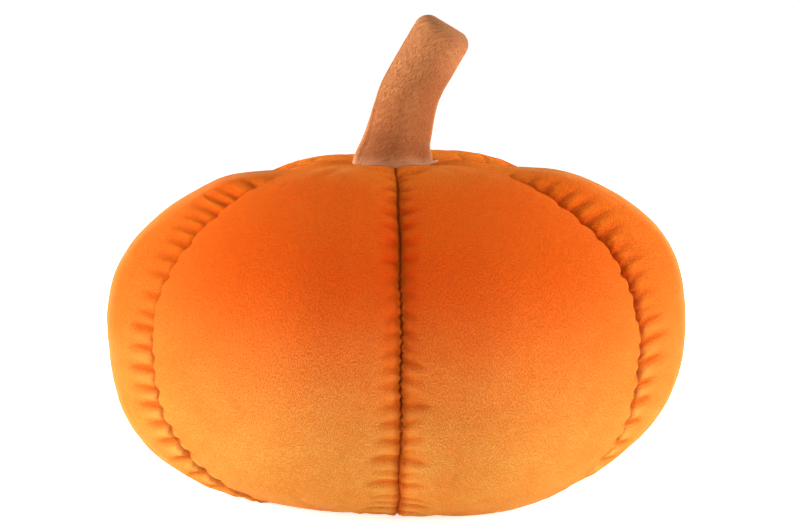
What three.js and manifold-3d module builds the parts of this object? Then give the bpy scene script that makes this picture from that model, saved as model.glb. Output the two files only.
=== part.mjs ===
// Pumpkin cushion: a plush body of six gathered panels and a filled fabric stem.
// Millimetres, +Z up, +X to the right of the front seam, which faces -Y.
// The origin is the middle of the underside, on the surface that the cushion rests on.
import * as THREE from 'three';
import { mergeVertices } from 'three/addons/utils/BufferGeometryUtils.js';
import Module from 'manifold-3d';

const wasm = await Module();
wasm.setup();

// Body: the outer line of a lobe, from the top centre over the widest ring to the underside.
// Lying free, a lobe would reach its underside reach below that ring; at rest it is pressed flat
const BODY_WIDTH = 360;
const CREST_RISE = 108;
const CREST_DROP = 116;
const UPPER_ROUNDNESS = 2.1;
const LOWER_ROUNDNESS = 2.45;
const TOP_HOLLOW = 11;
const UNDERSIDE_HOLLOW = 20;
const HOLLOW_RADIUS = 50;
const UNDERSIDE_REACH = 109;
const REST_SQUASH = 4.5;
const EQUATOR_HEIGHT = UNDERSIDE_REACH - REST_SQUASH;

// Seams between the lobes
const SEAM_DEPTH = 25;
const LOBE_ROUNDNESS = 2.3;
const UPPER_SEAM_FADE = 1;
const LOWER_SEAM_FADE = 2;

// Gathers that the seam thread pulls up on both sides of each seam
const PUCKER_HEIGHT = 3.2;
const PUCKER_REACH = 16;
const PUCKER_ROOT = 2;
const PUCKER_START_RADIUS = 42;
const PUCKER_FULL_RADIUS = 70;
const PUCKER_UNEVENNESS = 0.35;
const PUCKER_BEAT_ALONG_SEAM = 2.4;
const PUCKER_BEAT_BETWEEN_SEAMS = 1.7;

// The panels as filled: how far each stands out and how high it carries its fullest part, how much
// fuller than the rest its upper and lower shoulders are, and how far it dips beside the stem
const LOBES = [
  { name: 'front right', bulge: -2, lift: -1, upper: 0, lower: 0, dip: 0 },
  { name: 'right', bulge: 1, lift: 8, upper: 2, lower: 0, dip: 7 },
  { name: 'back right', bulge: 0, lift: 7, upper: 2, lower: 0, dip: 0 },
  { name: 'back left', bulge: -1, lift: -5, upper: 1, lower: 0, dip: 0 },
  { name: 'left', bulge: -2, lift: 0, upper: 2.5, lower: 1.5, dip: 8.5 },
  { name: 'front left', bulge: 1, lift: 6, upper: 0, lower: -2, dip: 0 },
];
const DIP_RADIUS = 70;
const DIP_SPREAD = 24;

// Facets of the body
const BODY_RINGS = 72;
const STEPS_PER_LOBE = 12;

// Stem: sections up its centre line, above the middle of the body's top. Turn is how far the two
// side seams are twisted towards the front on the left and towards the back on the right, in degrees
const STEM_SECTIONS = [
  { rise: -7, shift: 0, width: 56, depth: 42, turn: 24 },
  { rise: 0, shift: 0, width: 54, depth: 41, turn: 24 },
  { rise: 5, shift: -0.4, width: 46, depth: 38, turn: 24 },
  { rise: 15, shift: 1.6, width: 42, depth: 36, turn: 24 },
  { rise: 24, shift: 3.8, width: 40.5, depth: 34.5, turn: 22 },
  { rise: 34, shift: 6.2, width: 38.3, depth: 33, turn: 18 },
  { rise: 44, shift: 9.2, width: 36.5, depth: 31.5, turn: 13 },
  { rise: 54, shift: 14, width: 34.8, depth: 30.5, turn: 8 },
  { rise: 64, shift: 19.8, width: 34.6, depth: 30, turn: 5 },
  { rise: 73, shift: 25, width: 34.4, depth: 30, turn: 4 },
  { rise: 79, shift: 28.6, width: 34.4, depth: 29, turn: 4 },
];
const STEM_END_ROUNDING = 9;
const STEM_SEAM_RIDGE = 1.1;
const STEM_SEAM_SHARPNESS = 14;
const STEM_STEPS_AROUND = 28;
const STEM_STEPS_ALONG = 20;
const STEM_END_STEPS = 5;

// Clearance between pieces that are sewn together
const SEWN_GAP = 0.3;

const plush = new THREE.MeshStandardMaterial({ color: 0xe87722, roughness: 0.9, metalness: 0 });
const stemPlush = new THREE.MeshStandardMaterial({ color: 0xba7347, roughness: 0.9, metalness: 0 });

// A point on the lobe's outer line in the plane of its middle; angle 0 is the top centre
function crestPoint(angle) {
  const s = Math.sin(angle);
  const c = Math.cos(angle);
  const upper = c > 0;
  const roundness = upper ? UPPER_ROUNDNESS : LOWER_ROUNDNESS;
  const reach = (Math.abs(s) ** roundness + Math.abs(c) ** roundness) ** (-1 / roundness);
  const radius = (BODY_WIDTH / 2) * s * reach;
  const hollow = Math.exp(-((radius / HOLLOW_RADIUS) ** 2));
  const height = upper
    ? CREST_RISE * c * reach - TOP_HOLLOW * hollow
    : CREST_DROP * c * reach + UNDERSIDE_HOLLOW * hollow;
  return new THREE.Vector2(radius, height);
}

// The direction that points out of the body at that place
function crestNormal(angle) {
  const step = 0.001;
  const along = crestPoint(angle + step).sub(crestPoint(angle - step)).normalize();
  return new THREE.Vector2(-along.y, along.x);
}

// How full a lobe is across its width: 1 at its middle, 0 at its seams
function swell(across) {
  return (1 - Math.abs(across) ** LOBE_ROUNDNESS) ** (1 / LOBE_ROUNDNESS);
}

// Raised and sunk gathers beside a seam, uneven from fold to fold
function pucker(ring, seam, fromSeam, radius) {
  const fade = THREE.MathUtils.smoothstep(radius, PUCKER_START_RADIUS, PUCKER_FULL_RADIUS);
  const beat = Math.sin(PUCKER_BEAT_ALONG_SEAM * ring + PUCKER_BEAT_BETWEEN_SEAMS * seam);
  const uneven = 1 - PUCKER_UNEVENNESS + PUCKER_UNEVENNESS * beat;
  const side = ring % 2 === 0 ? 1 : -1;
  const near = Math.exp(-fromSeam / PUCKER_REACH) * (1 - Math.exp(-fromSeam / PUCKER_ROOT));
  return side * uneven * PUCKER_HEIGHT * fade * near;
}

// How the filling moves the middle of one lobe, outwards and upwards
function fillOffset({ bulge, lift, upper, lower, dip }, angle, radius) {
  const waist = Math.sin(angle) ** 2;
  const shoulders = Math.sin(2 * angle);
  const besideStem = angle < Math.PI / 2 ? Math.exp(-(((radius - DIP_RADIUS) / DIP_SPREAD) ** 2)) : 0;
  const rise = Math.max(shoulders, 0) * upper + Math.min(shoulders, 0) * lower;
  return new THREE.Vector2(bulge * waist, lift * waist + rise - dip * besideStem);
}

// A point on the body: ring counts down from the top centre, across is -1 to 1 over a lobe
function bodyPoint(ring, lobe, across) {
  const angle = (Math.PI * ring) / BODY_RINGS;
  const crest = crestPoint(angle);
  const normal = crestNormal(angle);
  const full = swell(across);
  const fadePower = crest.y > 0 ? UPPER_SEAM_FADE : LOWER_SEAM_FADE;
  const inset = SEAM_DEPTH * (crest.x / (BODY_WIDTH / 2)) ** fadePower * (1 - full);
  const halfLobe = (crest.x * Math.PI) / LOBES.length;
  const seam = (lobe + (across > 0 ? 1 : 0)) % LOBES.length;
  const fold = pucker(ring, seam, (1 - Math.abs(across)) * halfLobe, crest.x);
  const filled = fillOffset(LOBES[lobe], angle, crest.x).multiplyScalar(full);
  const out = fold - inset;
  const radius = crest.x + normal.x * out + filled.x;
  const height = EQUATOR_HEIGHT + crest.y + normal.y * out + filled.y;
  const azimuth = ((lobe + 0.5 + across / 2) * 2 * Math.PI) / LOBES.length;
  return new THREE.Vector3(radius * Math.sin(azimuth), -radius * Math.cos(azimuth), Math.max(height, 0));
}

// A closed surface through rings of points, with one point at each end
function ringSurface(first, rings, last) {
  const count = rings[0].length;
  const points = [first, ...rings.flat(), last];
  const index = [];
  const at = (ring, step) => 1 + ring * count + (step % count);
  for (let step = 0; step < count; step += 1) {
    index.push(0, at(0, step), at(0, step + 1));
    for (let ring = 0; ring < rings.length - 1; ring += 1) {
      const [a, b] = [at(ring, step), at(ring, step + 1)];
      const [c, d] = [at(ring + 1, step), at(ring + 1, step + 1)];
      index.push(a, c, b, b, c, d);
    }
    index.push(at(rings.length - 1, step + 1), at(rings.length - 1, step), points.length - 1);
  }
  const geometry = new THREE.BufferGeometry().setFromPoints(points);
  geometry.setIndex(index);
  return geometry;
}

function bodyGeometry() {
  const rings = [];
  for (let ring = 1; ring < BODY_RINGS; ring += 1) {
    const points = [];
    for (let column = 0; column < LOBES.length * STEPS_PER_LOBE; column += 1) {
      const lobe = Math.floor(column / STEPS_PER_LOBE);
      const part = (column % STEPS_PER_LOBE) / STEPS_PER_LOBE;
      points.push(bodyPoint(ring, lobe, -Math.cos(Math.PI * part)));
    }
    rings.push(points);
  }
  return ringSurface(bodyPoint(0, 0, 0), rings, bodyPoint(BODY_RINGS, 0, 0));
}

// The outline of the stem at one station: two panels that meet in a low ridge at each side
function stemSection({ centre, lean, width, depth, turn }) {
  const points = [];
  for (let step = 0; step < STEM_STEPS_AROUND; step += 1) {
    const around = (2 * Math.PI * step) / STEM_STEPS_AROUND;
    const ridge = STEM_SEAM_RIDGE * Math.abs(Math.cos(around)) ** STEM_SEAM_SHARPNESS;
    const across = (width / 2 + ridge) * Math.cos(around);
    const forward = (depth / 2) * Math.sin(around);
    const side = across * Math.cos(turn) - forward * Math.sin(turn);
    const back = across * Math.sin(turn) + forward * Math.cos(turn);
    points.push(new THREE.Vector3(
      centre.x + side * Math.cos(lean),
      centre.y + back,
      centre.z - side * Math.sin(lean),
    ));
  }
  return points;
}

// Smooth value of a section's column at a place along the stem, 0 at the base to 1 at the end
function stemValue(column, along) {
  const knots = STEM_SECTIONS.map((section, i) => new THREE.Vector3(i, section[column], 0));
  return new THREE.CatmullRomCurve3(knots).getPoint(along).y;
}

function stemStation(along, topHeight) {
  const step = 0.01;
  const before = Math.max(along - step, 0);
  const after = Math.min(along + step, 1);
  const dx = stemValue('shift', after) - stemValue('shift', before);
  const dz = stemValue('rise', after) - stemValue('rise', before);
  return {
    centre: new THREE.Vector3(stemValue('shift', along), 0, topHeight + stemValue('rise', along)),
    lean: Math.atan2(dx, dz),
    width: stemValue('width', along),
    depth: stemValue('depth', along),
    turn: THREE.MathUtils.degToRad(stemValue('turn', along)),
  };
}

// The rounded end of the stem, a place from 0 at its last station to 1 at its tip
function stemEndStation(end, onward, place) {
  const turned = (Math.PI / 2) * place;
  const trim = 2 * STEM_END_ROUNDING * (1 - Math.cos(turned));
  return {
    ...end,
    centre: end.centre.clone().addScaledVector(onward, STEM_END_ROUNDING * Math.sin(turned)),
    width: end.width - trim,
    depth: end.depth - trim,
  };
}

function stemGeometry(topHeight) {
  const rings = [];
  for (let ring = 0; ring <= STEM_STEPS_ALONG; ring += 1) {
    rings.push(stemSection(stemStation(ring / STEM_STEPS_ALONG, topHeight)));
  }
  const end = stemStation(1, topHeight);
  const onward = new THREE.Vector3(Math.sin(end.lean), 0, Math.cos(end.lean));
  for (let ring = 1; ring < STEM_END_STEPS; ring += 1) {
    rings.push(stemSection(stemEndStation(end, onward, ring / STEM_END_STEPS)));
  }
  const tip = stemEndStation(end, onward, 1).centre;
  const base = stemStation(0, topHeight).centre;
  return ringSurface(tip, rings.reverse(), base);
}

function toSolid(geometry) {
  const merged = mergeVertices(geometry);
  return new wasm.Manifold(new wasm.Mesh({
    numProp: 3,
    vertProperties: new Float32Array(merged.attributes.position.array),
    triVerts: new Uint32Array(merged.index.array),
  }));
}

function toGeometry(solid) {
  const { vertProperties, triVerts } = solid.getMesh();
  const geometry = new THREE.BufferGeometry();
  geometry.setAttribute('position', new THREE.BufferAttribute(vertProperties, 3));
  geometry.setIndex(new THREE.BufferAttribute(triVerts, 1));
  return geometry;
}

// The stem's foot is cut to the body's top, a sewing gap above it
function fittedStemGeometry(body) {
  const stem = toSolid(stemGeometry(EQUATOR_HEIGHT + crestPoint(0).y));
  const raisedBody = toSolid(body).translate([0, 0, SEWN_GAP]);
  return toGeometry(stem.subtract(raisedBody));
}

function namedMesh(name, geometry, material) {
  geometry.computeVertexNormals();
  const mesh = new THREE.Mesh(geometry, material);
  mesh.name = name;
  return mesh;
}

const body = bodyGeometry();
const cushion = new THREE.Group();
cushion.add(namedMesh('body', body, plush));
cushion.add(namedMesh('stem', fittedStemGeometry(body), stemPlush));

export default cushion;
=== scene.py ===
import math
from collections import namedtuple

import bpy
import numpy as np
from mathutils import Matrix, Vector
from mathutils.bvhtree import BVHTree


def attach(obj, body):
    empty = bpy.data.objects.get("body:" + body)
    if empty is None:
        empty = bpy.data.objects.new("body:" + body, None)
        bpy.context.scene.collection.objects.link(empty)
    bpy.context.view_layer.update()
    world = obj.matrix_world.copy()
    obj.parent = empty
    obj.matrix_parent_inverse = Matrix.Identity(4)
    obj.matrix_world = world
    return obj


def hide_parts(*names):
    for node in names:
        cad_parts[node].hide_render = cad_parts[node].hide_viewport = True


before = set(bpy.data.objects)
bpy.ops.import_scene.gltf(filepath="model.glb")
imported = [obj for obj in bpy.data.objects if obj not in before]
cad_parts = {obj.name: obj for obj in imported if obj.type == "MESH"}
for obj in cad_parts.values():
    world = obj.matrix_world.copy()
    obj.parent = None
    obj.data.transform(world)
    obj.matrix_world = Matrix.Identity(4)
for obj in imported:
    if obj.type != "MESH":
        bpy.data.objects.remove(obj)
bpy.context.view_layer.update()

MM = 0.001

# The body's form, the same as that of its solid, in millimetres
BODY_WIDTH = 360
CREST_RISE = 108
CREST_DROP = 116
UPPER_ROUNDNESS = 2.1
LOWER_ROUNDNESS = 2.45
TOP_HOLLOW = 11
UNDERSIDE_HOLLOW = 20
HOLLOW_RADIUS = 50
EQUATOR_HEIGHT = 104.5
SEAM_DEPTH = 25
LOBE_ROUNDNESS = 2.3
UPPER_SEAM_FADE = 1
LOWER_SEAM_FADE = 2
DIP_RADIUS = 70
DIP_SPREAD = 24

# How full each panel is: how far it stands out and up, the fullness of its upper and lower
# shoulder, and its dip beside the stem
Panel = namedtuple("Panel", "name bulge lift upper lower dip")
PANELS = [
    Panel("front right", -2, -1, 0, 0, 0),
    Panel("right", 1, 8, 2, 0, 7),
    Panel("back right", 0, 7, 2, 0, 0),
    Panel("back left", -1, -5, 1, 0, 0),
    Panel("left", -2, 0, 2.5, 1.5, 8.5),
    Panel("front left", 1, 6, 0, -2, 0),
]

# Mesh steps of the body, and how much of the columns' spacing is even across a panel
RINGS = 280
COLUMNS_PER_HALF = 29
POLE_ANGLE = 15
POLE_RINGS = 12
EVEN_COLUMNS = 0.25
MEASURING_STEPS = 2000

# Gathers beside the seams. Place is degrees from the top centre, depth, reach and width are
# millimetres beside the seam, slant is how far the fold runs down for each of them
Fold = namedtuple("Fold", "place depth reach width slant")
FRONT_SEAM_LEFT_FOLDS = [
    Fold(13, 1.6, 12, 2.42, 0),
    Fold(18.5, 3.2, 30, 3, -0.15),
    Fold(24.5, 1.2, 10, 1.98, 0.1),
    Fold(30, 1.39, 14, 2.2, 0.15),
    Fold(35.5, 1.11, 14, 2.24, 0),
    Fold(40.5, 1.66, 16, 2.64, 0.1),
    Fold(46, 1.22, 14, 2.11, 0),
    Fold(51, 1.55, 14, 2.51, 0.25),
    Fold(57, 1.44, 16, 2.38, 0.2),
    Fold(62.5, 1.77, 16, 2.77, 0.3),
    Fold(68.5, 1.22, 14, 2.24, 0.2),
    Fold(75, 2.97, 25, 2.9, 0.25),
    Fold(81.5, 2.13, 19, 2.38, 0.2),
    Fold(87.5, 3.29, 26, 2.9, 0.25),
    Fold(93, 2.29, 19, 2.38, 0.2),
    Fold(98.8, 2.97, 23, 2.64, 0.12),
    Fold(104.7, 3.33, 29, 3.17, 0.22),
    Fold(111.2, 3.21, 28, 3.04, 0.08),
    Fold(117.3, 2.82, 26, 2.9, 0.06),
    Fold(124.2, 4.62, 38, 3.7, 0.06),
    Fold(129.1, 2.31, 26, 2.38, 0.01),
    Fold(133.1, 4.1, 32, 3.17, 0.06),
    Fold(138, 1.92, 22, 1.98, 0.11),
    Fold(141.8, 2.43, 31, 2.24, 0.11),
    Fold(145.5, 3.08, 38, 2.51, 0.11),
    Fold(150, 2.31, 26, 2.38, 0.06),
    Fold(155, 2.82, 28, 2.77, 0.06),
    Fold(160, 2.05, 22, 2.51, 0.06),
]
FRONT_SEAM_RIGHT_FOLDS = [
    Fold(14, 2.2, 18, 2.09, -0.25),
    Fold(19.7, 4.4, 30, 2.8, -0.3),
    Fold(24, 2, 20, 2.2, 0.05),
    Fold(29.5, 1.31, 14, 2.31, 0.1),
    Fold(34, 0.82, 12, 2.11, 0.1),
    Fold(39.5, 1.66, 16, 2.64, -0.04),
    Fold(45, 1.55, 14, 2.51, 0.01),
    Fold(50.5, 1.34, 15, 2.24, 0.16),
    Fold(56, 1.77, 18, 2.64, 0.16),
    Fold(61, 1.22, 14, 2.11, 0.21),
    Fold(66.5, 1.88, 16, 2.77, 0.16),
    Fold(72.5, 2.13, 18, 2.38, 0.16),
    Fold(78.5, 2.78, 25, 2.77, 0.21),
    Fold(84, 1.97, 18, 2.24, 0.16),
    Fold(89.5, 3.13, 26, 2.77, 0.16),
    Fold(95, 2.29, 20, 2.38, 0.13),
    Fold(100.5, 2.43, 22, 2.64, 0.02),
    Fold(104.1, 4.36, 45, 3.56, 0),
    Fold(110.2, 2.82, 28, 2.9, -0.14),
    Fold(116, 3.08, 28, 2.9, -0.09),
    Fold(120.4, 2.17, 20, 2.38, -0.14),
    Fold(123, 4.1, 35, 2.64, -0.02),
    Fold(128, 2.05, 18, 2.38, -0.14),
    Fold(132.1, 2.56, 22, 2.64, -0.14),
    Fold(138, 2.82, 29, 2.64, 0.12),
    Fold(141.5, 2.56, 29, 2.38, 0.12),
    Fold(146, 2.17, 23, 2.38, 0.06),
    Fold(151, 2.69, 29, 2.64, 0.06),
    Fold(157, 2.17, 22, 2.51, 0.06),
]
LEFT_PANEL_FRONT_FOLDS = [
    Fold(20, 0.86, 38, 1.88, 0),
    Fold(26, 0.96, 40, 2.03, 0),
    Fold(31.5, 2.01, 52, 2.19, 0),
    Fold(36.8, 2.61, 61, 2.19, 0.08),
    Fold(39.8, 2.79, 65, 2.03, 0.1),
    Fold(43.4, 2.61, 61, 2.11, 0.1),
    Fold(46.8, 2.25, 56, 1.95, 0.12),
    Fold(50.4, 2.61, 61, 2.11, 0.14),
    Fold(55, 2.32, 56, 2.03, 0.1),
    Fold(59.8, 2.61, 58, 2.19, 0.12),
    Fold(66.2, 2.44, 61, 2.27, 0.05),
    Fold(73.5, 2.56, 65, 2.35, 0.02),
    Fold(80.4, 2.95, 68, 2.19, -0.02),
    Fold(86, 3.38, 70, 2.19, -0.04),
    Fold(92.5, 3.06, 65, 2.27, -0.04),
    Fold(99, 3.38, 68, 2.27, -0.04),
    Fold(105.5, 2.75, 58, 2.11, -0.04),
    Fold(111, 2.95, 58, 2.11, -0.04),
    Fold(117, 2.43, 53, 2.03, 0),
    Fold(123, 2.64, 56, 2.03, 0),
    Fold(129, 2.21, 48, 1.88, 0),
    Fold(135, 2.43, 53, 1.95, 0),
    Fold(141, 2.01, 43, 1.8, 0),
    Fold(147, 2.21, 48, 1.8, 0),
    Fold(154, 1.9, 40, 1.72, 0),
]
RIGHT_PANEL_FRONT_FOLDS = [
    Fold(19, 0.8, 40, 1.88, 0),
    Fold(25, 0.88, 43, 2.03, 0),
    Fold(30, 0.8, 46, 1.88, 0),
    Fold(34.5, 0.95, 52, 2.03, 0.05),
    Fold(38.8, 1.2, 57, 2.03, 0.1),
    Fold(42.9, 1.95, 58, 2.11, 0.12),
    Fold(47.6, 1.95, 61, 2.19, 0.14),
    Fold(53, 2.01, 58, 2.19, 0.12),
    Fold(58.8, 1.65, 55, 2.03, 0.12),
    Fold(63, 1.93, 57, 1.95, 0.12),
    Fold(68.6, 1.99, 57, 2.19, 0.1),
    Fold(75, 2.3, 65, 2.35, 0.06),
    Fold(81, 2.11, 48, 1.8, 0.02),
    Fold(85.5, 3.16, 62, 2.19, 0),
    Fold(92, 2.75, 56, 2.19, 0),
    Fold(99, 2.95, 56, 2.19, 0),
    Fold(106, 2.43, 52, 2.03, 0),
    Fold(112, 2.64, 53, 2.03, 0),
    Fold(119, 2.33, 46, 2.03, 0),
    Fold(126, 2.11, 43, 1.88, 0),
    Fold(132, 2.43, 48, 1.95, 0),
    Fold(139, 2.01, 43, 1.8, 0),
    Fold(146, 2.21, 46, 1.8, 0),
    Fold(153, 1.9, 40, 1.72, 0),
]
# Which side of a panel the folds above lie on: -1 beside its first seam, 1 beside its last
PLACED_FOLDS = {
    ("front left", 1): FRONT_SEAM_LEFT_FOLDS,
    ("front right", -1): FRONT_SEAM_RIGHT_FOLDS,
    ("left", 1): LEFT_PANEL_FRONT_FOLDS,
    ("right", -1): RIGHT_PANEL_FRONT_FOLDS,
}
# Gathers of the other seams, drawn from these ranges; they are shallow near the top
OTHER_FOLD_FIRST = 15
OTHER_FOLD_LAST = 163
OTHER_FOLD_SPACING = (4.2, 7.0)
OTHER_FOLD_DEPTH = (0.9, 2.3)
OTHER_FOLD_FULL_DEPTH = 60
OTHER_FOLD_TOP_SHARE = 0.35
OTHER_FOLD_REACH = (9, 26)
OTHER_FOLD_WIDTH = (1.9, 2.8)
OTHER_FOLD_SLANT = (-0.08, 0.12)
# A gather's section: a narrow crease in a wider hollow, which widens away from the seam
FOLD_GAIN = 1.15
FOLD_WIDENING = 0.8
FOLD_START = 1.6
FOLD_FADE_POWER = 1.5
CREASE_SHARE = 0.6
HOLLOW_WIDTH = 2.4
# The rounded edge of cloth that stands up beside a seam
ROLL_HEIGHT = 9.0
ROLL_REACH = 8.0

# The seam line itself, pulled from side to side by the gathers
SEAM_WANDER = 0.5
SEAM_WANDER_PITCH = 4.6
SEAM_WANDER_REACH = 5
SEAM_WANDER_SEED = 70
PITCH_DRIFT = 2
PITCH_DRIFT_LENGTH = 31
SLOW_WANDER_PITCH = 53
SLOW_WANDER_SHARE = 0.8
LAST_PHASE = 6

# Extra cloth that is gathered into the seams, for the simulation: its share of the largest amount
# and its reach from the seam in millimetres, on the upper and on the lower half of the body
Gathering = namedtuple("Gathering", "upper lower upper_reach lower_reach")
FRONT_SEAM_GATHERING = Gathering(0.4, 1.0, 10, 22)
GATHERING = {
    ("front left", 1): FRONT_SEAM_GATHERING,
    ("front right", -1): FRONT_SEAM_GATHERING,
}
OTHER_GATHERING = Gathering(0.38, 0.7, 34, 34)
GATHERING_FADE_POWER = 1.5
GATHERING_FIRST_ANGLE = 10
GATHERING_LAST_ANGLE = 168
GATHERING_FADE_ANGLE = 12

# Cloth simulation of the filled body
EXTRA_CLOTH = 0.08
FILLING_PRESSURE = 60.0
CLOTH_FRAMES = 7
CLOTH_STIFFNESS = 40.0
CLOTH_SHEAR = 5.0
CLOTH_BENDING = 4.0
CLOTH_MASS = 0.1
CLOTH_MOVE_CAP = 7.0
PIN_POLE_ANGLE = 9
PIN_HEIGHT = 0.5
SEAM_PIN_REACH = 0.05
SWELLING_RINGS = 8
SWELLING_COLUMNS = 3
SWELLING_TAKEN_OUT = 0.8
RELIEF_RINGS = 5
RELIEF_COLUMNS = 2

# Soft unevenness of the filling
LUMP_HEIGHT = 1.1
LUMPS_PER_PANEL = 5
LUMPS_ALONG = (2, 7)
LUMPS_ACROSS = (-3, 3)
LUMP_SEED = 40

# Sewing thread in the seams
THREAD_RADIUS = 0.45
THREAD_SIDES = 6
THREAD_LIFT = 0.5
THREAD_FIRST_ANGLE = 10
THREAD_LAST_ANGLE = 168

# The stem's form in millimetres and degrees: that of its solid, with a slightly wider foot
StemSection = namedtuple("StemSection", "rise shift width depth turn")
STEM_SECTIONS = [
    StemSection(-7, 0, 60, 44, 24),
    StemSection(0, 0, 57.5, 43, 24),
    StemSection(5, 0, 50.5, 40, 24),
    StemSection(15, 1.6, 43, 36.5, 24),
    StemSection(24, 3.8, 40.5, 34.5, 22),
    StemSection(34, 6.2, 38.3, 33, 18),
    StemSection(44, 9.2, 36.5, 31.5, 13),
    StemSection(54, 14, 34.8, 30.5, 8),
    StemSection(64, 19.8, 34.6, 30, 5),
    StemSection(73, 25, 34.4, 30, 4),
    StemSection(79, 28.6, 34.4, 29, 4),
]
STEM_END_ROUNDING = 9
STEM_SEAM_RIDGE = 1.1
STEM_SEAM_SHARPNESS = 14
STEM_GROOVE_DEPTH = 1.2
STEM_GROOVE_WIDTH = 0.05
STEM_SEAM_TURN = 0.34
STEM_SEAM_SPAN = 15
STEM_SEAM_TURN_POWER = 1.5
# How far round the stem the painted shade of its right side is turned
STEM_SHADED_TURN = -0.6
STEM_LEAN_STEP = 0.01
STEM_STEPS_AROUND = 168
STEM_STEPS_ALONG = 110
STEM_END_STEPS = 14
STEM_FOOT_RINGS = 4
SEWN_GAP = 0.15

# Each panel and the stem start at a place of their own in the pile's noise
PANEL_NAP = 500.0
STEM_NAP = 4000.0

# The pile in millimetres: the size of its tufts, how long they lie and the size of its patches
Pile = namedtuple("Pile", "tuft_size lay patch_size")
BODY_PILE = Pile(0.52, 0.5, 26.0)
STEM_PILE = Pile(0.55, 0.25, 15.0)
NAP_SWIRL_SCALE = 0.16
NAP_SWIRL = 1.6
CLUMP_SHARE = 0.2
FLECK_HEIGHT = 0.35
PILE_HEIGHT = 0.0009

# How a plush takes the light
Finish = namedtuple("Finish", "gloss sheen sheen_roughness sheen_tint relief")
BODY_FINISH = Finish(0.02, 0.9, 0.25, (1.0, 0.33, 0.025, 1), 1.0)
STEM_FINISH = Finish(0.08, 0.12, 0.35, (1.0, 0.72, 0.5, 1), 0.8)

# A measure on the surface turned into an amount of colour: from low to high it goes from first
# to last. Heights and places are metres, distances from a seam, the stem or its foot millimetres
Turn = namedtuple("Turn", "low high first last", defaults=(0.0, 1.0))
CLUMP_ROUNDING = Turn(0.85, 0.1)
TUFT_NOISE = Turn(0.3, 0.7)
FLECK_NOISE = Turn(0.36, 0.66)
PATCH_NOISE = Turn(0.3, 0.7)
TUFT_ROUGHNESS = Turn(0.0, 1.0, 0.98, 0.8)
UNDERSIDE_LIGHT_HEIGHT = Turn(0.168, 0.02)
CROWN_HEIGHT = Turn(0.15, 0.196)
CROWN_REACH = Turn(112.0, 66.0)
CROWN_BEHIND = Turn(0.0, 0.04, 0.5, 0.9)
SIDE_LIGHT_PART = Turn(0.085, 0.165, 0.0, 0.42)
GRAIN_HEIGHT = Turn(0.12, 0.165)
ORANGE_BETWEEN_TUFTS = Turn(0.62, 0.3, 0.0, 0.85)
RIDGE_HIGHLIGHTS = Turn(0.0, 1.0, 0.0, 0.6)
VALLEY_SHADE = Turn(0.0, -1.6, 0.0, 0.65)
BODY_SHEEN_EDGE = Turn(0.7, 1.0, 0.0, 0.6)
SHEEN_FROM_SEAM = Turn(15.0, 40.0)
SEAM_SHADE_REACH = Turn(17.0, 3.0, 0.0, 0.55)
SEAM_SHADE_MIDDLE = Turn(0.06, 0.02)
SEAM_SHADE_FROM_STEM = Turn(80.0, 140.0)
CREASE_SHADE_REACH = Turn(6.0, 0.8)
CREASE_SHADE_ASIDE = Turn(0.02, 0.07, 0.75, 0.45)
CREASE_SHADE_HEIGHT = Turn(0.15, 0.19, 1.0, 0.4)
PALE_STEM_END = Turn(10.0, 78.0)
BROWN_BETWEEN_TUFTS = Turn(0.62, 0.25, 0.0, 0.75)
STEM_RIGHT_SIDE = Turn(0.35, 0.95, 0.0, 0.6)
STEM_LOWER_PART = Turn(75.0, 45.0, 0.25, 1.0)
FOOT_RIM = Turn(8.0, 0.0, 0.0, 0.6)
STEM_SHEEN_EDGE = Turn(0.6, 1.0, 0.0, 0.6)
STEM_SEAM_LINE = Turn(1.1, 0.0, 0.0, 0.7)
BODY_PATCH_SHARE = 0.3
BODY_FLECK_SHARE = 0.36
STEM_PATCH_SHARE = 0.4
STEM_FLECK_SHARE = 0.4

# Colours of the body's plush, with painted light and shade: the golden underside, crown and sides,
# the highlights on ridges, the shade in valleys and seams, and the sheen at its edges
DEEP_ORANGE = (1.0, 0.07, 0.0003, 1)
# Painted light from below: the gold of the underside
UNDERSIDE_LIGHT_GOLD = (0.87, 0.48, 0.11, 1)
# Painted sheen on the crown behind the stem
CROWN_SHEEN_GOLD = (1.0, 0.38, 0.05, 1)
# Painted light on the body's sides
SIDE_LIGHT_GOLD = (1.0, 0.36, 0.05, 1)
BRUSHED_ORANGE = (0.92, 0.12, 0.004, 1)
LOWER_GRAIN = (0.76, 0.44, 0.28, 1)
UPPER_GRAIN = (0.74, 0.08, 0.05, 1)
FLECK_ORANGE = (1.0, 0.24, 0.018, 1)
# Painted highlight on the gathers' ridges and painted shade in their valleys
RIDGE_HIGHLIGHT_ORANGE = (1.0, 0.17, 0.006, 1)
RIDGE_HIGHLIGHT_GOLD = (1.0, 0.55, 0.13, 1)
VALLEY_SHADE_RED = (0.66, 0.045, 0.001, 1)
SHEEN_GOLD = (1.0, 0.48, 0.17, 1)
# Painted shade colour beside the front seam
SEAM_SHADE_RED = (1.0, 0.03, 0.0004, 1)
SEAM_SHADE_GOLD = (1.0, 0.26, 0.025, 1)
# Painted shade in the creases of the seams
CREASE_SHADE_RED = (0.58, 0.028, 0.0005, 1)

# Colours of the stem's plush, with a painted shade on its lower right side and a painted sheen at
# its edges
LOWER_BROWN = (0.43, 0.105, 0.017, 1)
UPPER_BROWN = (0.48, 0.172, 0.052, 1)
BRUSHED_TAN = (0.6, 0.225, 0.07, 1)
BROWN_GRAIN = (0.22, 0.055, 0.012, 1)
FLECK_TAN = (0.62, 0.27, 0.12, 1)
SHADED_SIDE_BROWN = (0.22, 0.048, 0.007, 1)
FOOT_TAN = (0.74, 0.36, 0.19, 1)
SHEEN_TAN = (0.66, 0.34, 0.15, 1)
SEAM_BROWN = (0.12, 0.03, 0.01, 1)

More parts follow.
